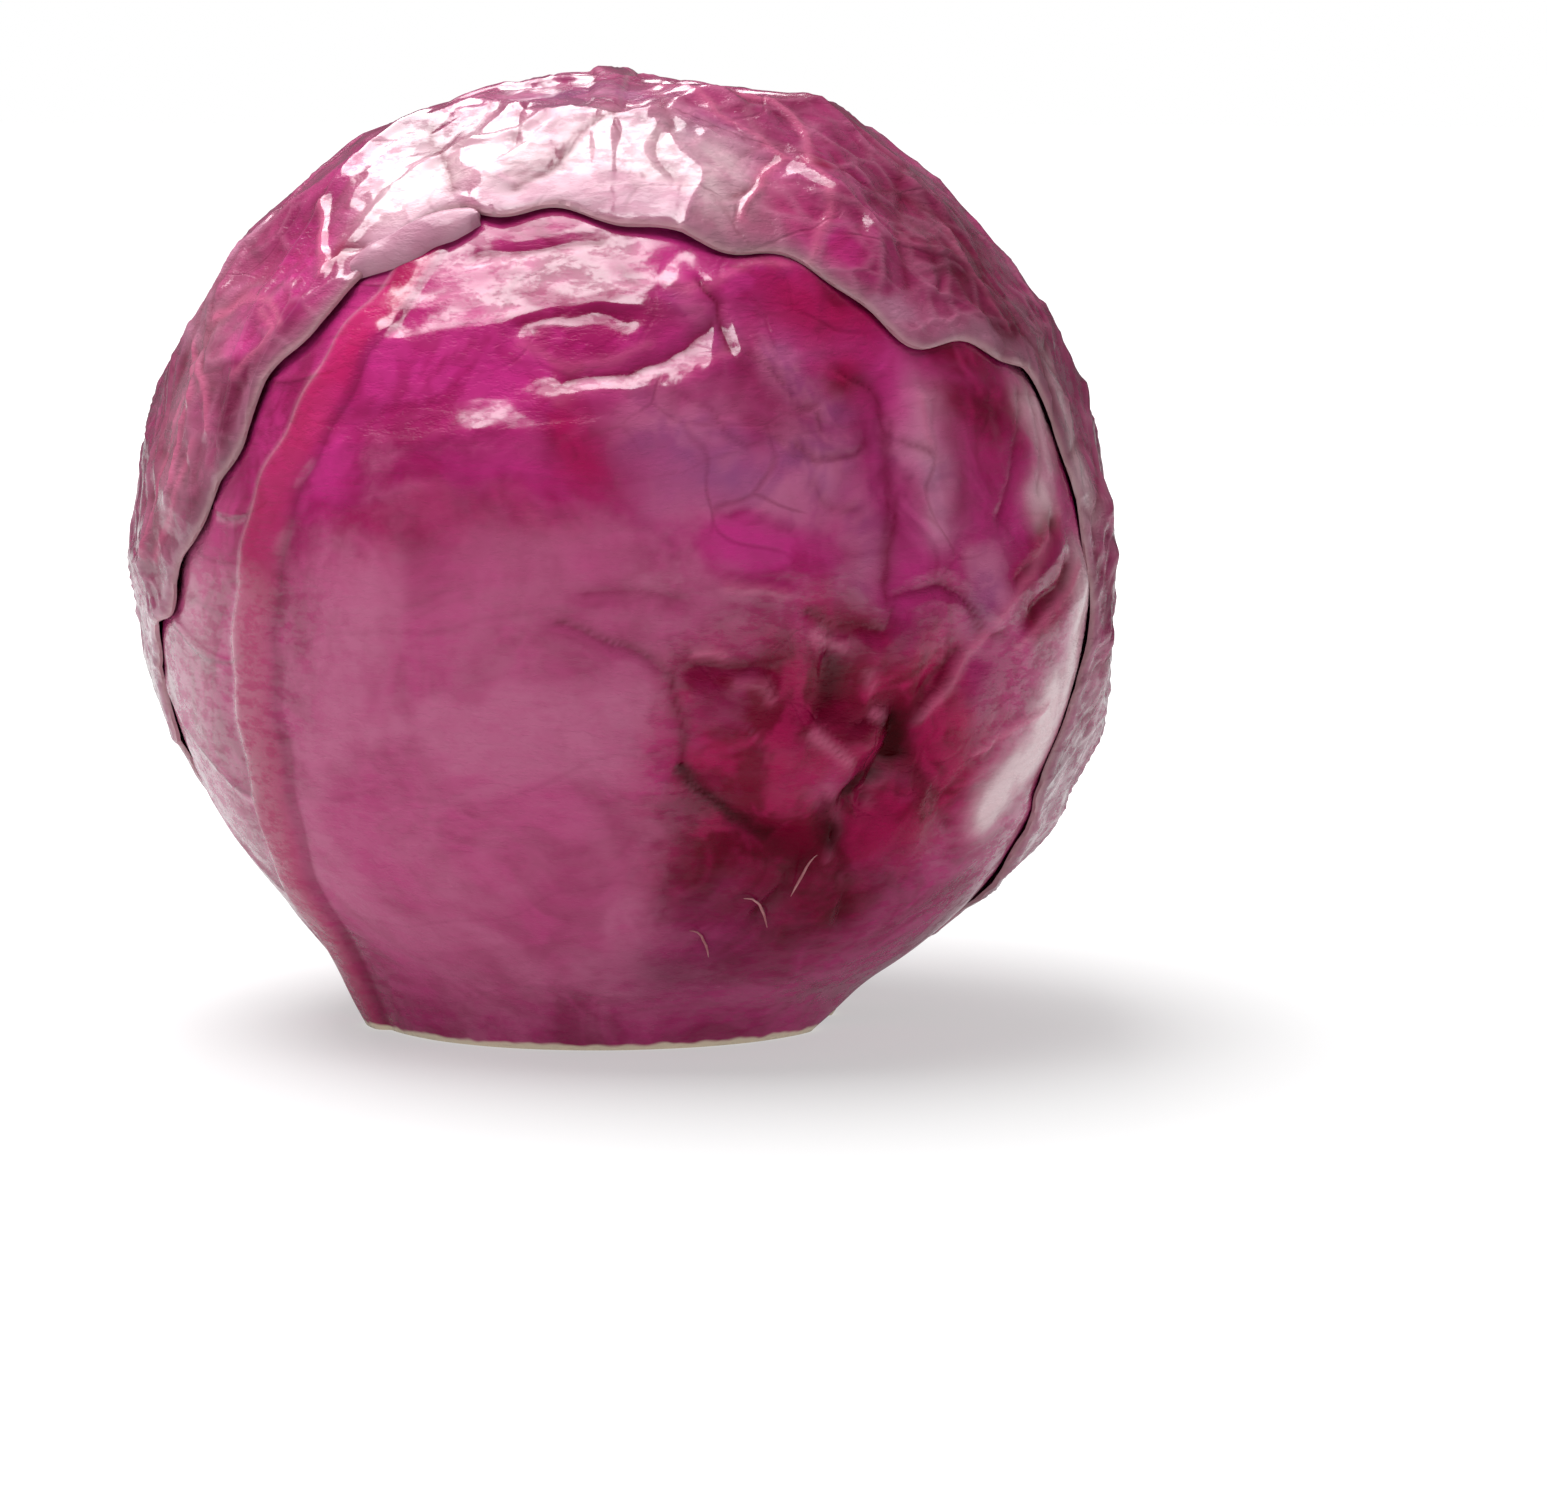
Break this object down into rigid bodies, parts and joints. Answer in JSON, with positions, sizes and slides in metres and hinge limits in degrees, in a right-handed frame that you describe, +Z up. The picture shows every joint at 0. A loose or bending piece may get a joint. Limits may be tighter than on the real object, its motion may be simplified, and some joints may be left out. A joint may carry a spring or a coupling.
{
  "type": "red cabbage",
  "caption": "Whole round red cabbage head standing on its flat cut stem, with ribbed purple wrapper leaves lapped over a tightly closed heart.",
  "frame": {"origin": "centre of the cut stem face, on the surface that the head stands on", "axes": "+Z up through the core to the crown, -Y out of the front, where the leaf with the offset midrib shows, +X to the right as seen from the front"},
  "size_m": [0.1623, 0.1648, 0.1558],
  "materials": {
    "stem_flesh": "matte cream cut flesh",
    "inner_leaf": "satin purple leaf",
    "under_leaf": "satin pink leaf with a pale rib",
    "wrapper_leaf": "waxy magenta and mauve leaf",
    "hood_leaf": "glossy purple leaf with fine wrinkles"
  },
  "bodies": {
    "root": {"stem": "stem_flesh", "heart": "inner_leaf", "left_leaf": "under_leaf", "right_leaf": "under_leaf", "front_leaf": "wrapper_leaf", "hood_leaf": "hood_leaf"}
  },
  "joints": []
}
